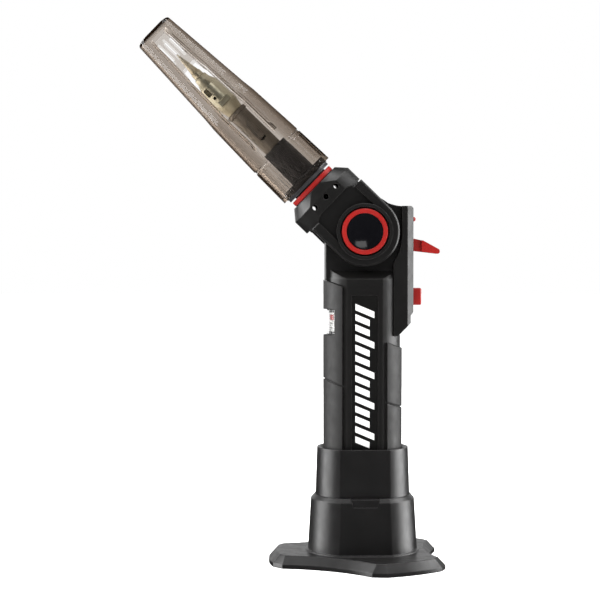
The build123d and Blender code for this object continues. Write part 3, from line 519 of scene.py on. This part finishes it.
def cutter(name, outline):
    """A prism right through the cap from front to rear, drawn in X and height."""
    grid = bmesh.new()
    closed_plate(grid, [(x, -CUT_HALF, u) for x, u in outline], [(x, CUT_HALF, u) for x, u in outline])
    bmesh.ops.recalc_face_normals(grid, faces=grid.faces)
    mesh = bpy.data.meshes.new(name)
    grid.to_mesh(mesh)
    grid.free()
    made = bpy.data.objects.new(name, mesh)
    bpy.context.scene.collection.objects.link(made)
    return made


def rounded_slot(middle, half, low, high, steps=8):
    """A slot with round ends, as X and height."""
    outline = []
    for centre, start in ((high - half, 0.0), (low + half, pi)):
        for step in range(steps + 1):
            angle = start + pi * step / steps
            outline.append((middle + half * cos(angle), centre + half * sin(angle)))
    return outline


def smoked_cap():
    """The clear cap, with its window, its slots, a fluted skirt and sunk fields front and rear."""
    mesh = bpy.data.meshes.new("smoked_cap")
    grid = cap_shell()
    grid.to_mesh(mesh)
    grid.free()
    cap = bpy.data.objects.new("smoked_cap", mesh)
    bpy.context.scene.collection.objects.link(cap)
    window = [(half, u) for u, half in CAP_WINDOW] + [(-half, u) for u, half in reversed(CAP_WINDOW)]
    cutters = [cutter("cap_window_cut", window)]
    for side in (-1, 0, 1):
        outline = rounded_slot(side * CAP_SLOT_PITCH, CAP_SLOT_HALF, *CAP_SLOT)
        cutters.append(cutter(f"cap_slot_cut{side + 1}", outline))
    for tool in cutters:
        cut = cap.modifiers.new(tool.name, "BOOLEAN")
        cut.object = tool
        cut.operation = "DIFFERENCE"
        cut.solver = "EXACT"
    bpy.context.view_layer.update()
    final = bpy.data.meshes.new_from_object(cap.evaluated_get(bpy.context.evaluated_depsgraph_get()))
    cap.modifiers.clear()
    cap.data = final
    for tool in cutters:
        bpy.data.objects.remove(tool)
    final.transform(Matrix.Diagonal((MM, MM, MM, 1.0)))
    final.transform(Matrix.Translation((CAP_AXIS_X * MM, 0.0, 0.0)))
    final.transform(Matrix.Translation(PIVOT) @ Matrix.Rotation(-TILT, 4, "Y"))
    final.shade_smooth()
    final.set_sharp_from_angle(angle=CAP_SHARP)
    final.materials.clear()
    final.materials.append(bpy.data.materials["smoke_clear"])
    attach(cap, "cap")
    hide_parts("protective_cap")


def level_label():
    """A plain level scale behind the fuel window: a red full mark above black ticks."""
    low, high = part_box("level_window")
    middle = (low.z + high.z) / 2
    radius = -low.x - LABEL_GAP
    paper = bmesh.new()
    curved_patch(paper, radius, LABEL_HALF_SPREAD, middle + LABEL_REACH[0], middle + LABEL_REACH[1])
    piece("level_label", paper, "label_paper", "torch")
    printed = radius + LABEL_THICKNESS
    mark = bmesh.new()
    curved_patch(mark, printed, MARK_HALF_SPREAD, middle + MARK_REACH[0], middle + MARK_REACH[1])
    piece("level_full_mark", mark, "red_plastic", "torch")
    ticks = bmesh.new()
    for step in range(TICKS):
        top = middle + TICK_TOP - step * TICK_PITCH
        spread = TICK_LONG if step % 2 == 0 else TICK_SHORT
        curved_patch(ticks, printed, spread, top - TICK_HEIGHT, top)
    piece("level_ticks", ticks, "label_ink", "torch")


def return_spring(node, wire, turns, axis, low_body, high_body):
    """A coil in place of a CAD spring, squeezed between the two bodies it sits between."""
    low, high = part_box(node)
    middle = (low + high) / 2
    first, second = [index for index in range(3) if index != axis]
    wire_radius = wire * MM / 2
    radius = (high[first] - low[first]) / 2 - wire_radius
    steps = turns * SPRING_STEPS
    grid = bmesh.new()
    rings = []
    for step in range(steps + 1):
        angle = 2 * pi * turns * step / steps
        level = low[axis] + wire_radius + (high[axis] - low[axis] - 2 * wire_radius) * step / steps
        ring = []
        for side in range(WIRE_SIDES):
            turn = 2 * pi * side / WIRE_SIDES
            reach = radius + wire_radius * cos(turn)
            point = middle.copy()
            point[first] += reach * cos(angle)
            point[second] += reach * sin(angle)
            point[axis] = level + wire_radius * sin(turn)
            ring.append(grid.verts.new(point))
        rings.append(ring)
    for near, far in zip(rings, rings[1:]):
        for side in range(WIRE_SIDES):
            after = (side + 1) % WIRE_SIDES
            grid.faces.new((near[side], near[after], far[after], far[side]))
    grid.faces.new(rings[0][::-1])
    grid.faces.new(rings[-1])
    coil = piece(f"{node}_coil", grid, "spring_steel", None)
    coil.data.shade_smooth()
    start, end = middle.copy(), middle.copy()
    start[axis] = low[axis]
    end[axis] = high[axis]
    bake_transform(coil)
    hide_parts(node)


# --- Stage -----------------------------------------------------------------------------
def studio_floor():
    """A wide pale floor that glows a little, so that it meets the white world without a line."""
    grid = bmesh.new()
    bmesh.ops.create_circle(grid, cap_ends=True, radius=FLOOR_RADIUS, segments=96)
    mesh = bpy.data.meshes.new("studio_floor")
    grid.to_mesh(mesh)
    grid.free()
    floor = bpy.data.objects.new("studio_floor", mesh)
    bpy.context.scene.collection.objects.link(floor)
    material = bpy.data.materials.new("studio_white")
    material.use_nodes = True
    tree = material.node_tree
    tree.nodes.clear()
    place = place_of(tree)
    tint = mixed(tree, noise(tree, place, 3.0), (0.86, 0.86, 0.86, 1.0), (0.90, 0.90, 0.90, 1.0))
    shader = add(tree, "ShaderNodeBsdfPrincipled", {
        "Base Color": tint, "Roughness": 0.9, "Specular IOR Level": 0.1,
        "Emission Color": (1.0, 1.0, 1.0, 1.0), "Emission Strength": 0.35})
    finish_tree(tree, shader)
    mesh.materials.append(material)
    floor.visible_glossy = False


def softbox(name, place, target, width, height, power):
    """A rectangular light that faces its target."""
    light = bpy.data.lights.new(name, "AREA")
    light.shape = "RECTANGLE"
    light.size = width
    light.size_y = height
    light.energy = power
    holder = bpy.data.objects.new(name, light)
    bpy.context.scene.collection.objects.link(holder)
    holder.location = place
    holder.visible_camera = False
    holder.visible_transmission = False
    holder.rotation_mode = "QUATERNION"
    holder.rotation_quaternion = (Vector(target) - Vector(place)).to_track_quat("-Z", "Y")


def studio():
    """White all round, with softboxes at both sides and above; gloss picks up only the softboxes."""
    world = bpy.data.worlds.new("studio")
    bpy.context.scene.world = world
    world.use_nodes = True
    world.cycles_visibility.glossy = False
    tree = world.node_tree
    tree.nodes.clear()
    background = add(tree, "ShaderNodeBackground", {"Color": (1.0, 1.0, 1.0, 1.0), "Strength": 1.0})
    add(tree, "ShaderNodeOutputWorld", {"Surface": background.outputs["Background"]})
    middle = STUDIO_MIDDLE
    softbox("softbox_left", (-0.80, 0.16, 0.22), middle, 0.5, 1.2, 19.0)
    softbox("softbox_right", (0.80, 0.16, 0.22), middle, 0.5, 1.2, 21.0)
    softbox("softbox_top", (0.0, 0.05, 1.0), middle, 0.9, 0.6, 10.0)
    softbox("softbox_front", (0.25, -0.9, 0.75), middle, 0.5, 0.3, 1.5)
    softbox("softbox_rear", (0.0, 1.1, 0.30), middle, 1.4, 0.5, 2.4)
    bpy.context.scene.view_settings.view_transform = "Standard"


def photo_camera():
    """A long lens from the front, a little above the middle of the torch."""
    lens = bpy.data.cameras.new("photo_camera")
    lens.lens = 102.3
    lens.sensor_width = 36.0
    lens.clip_start = 0.05
    lens.clip_end = 50.0
    camera = bpy.data.objects.new("photo_camera", lens)
    bpy.context.scene.collection.objects.link(camera)
    camera.location = (-0.0590, -0.8497, 0.1528)
    camera.rotation_euler = (radians(90 - 1.49), 0.0, radians(-1.87))
    bpy.context.scene.camera = camera


# --- Scene -----------------------------------------------------------------------------
make_looks()
panel_motif()
level_label()
smoked_cap()
for spring in SPRINGS:
    return_spring(*spring)
studio_floor()
studio()
photo_camera()
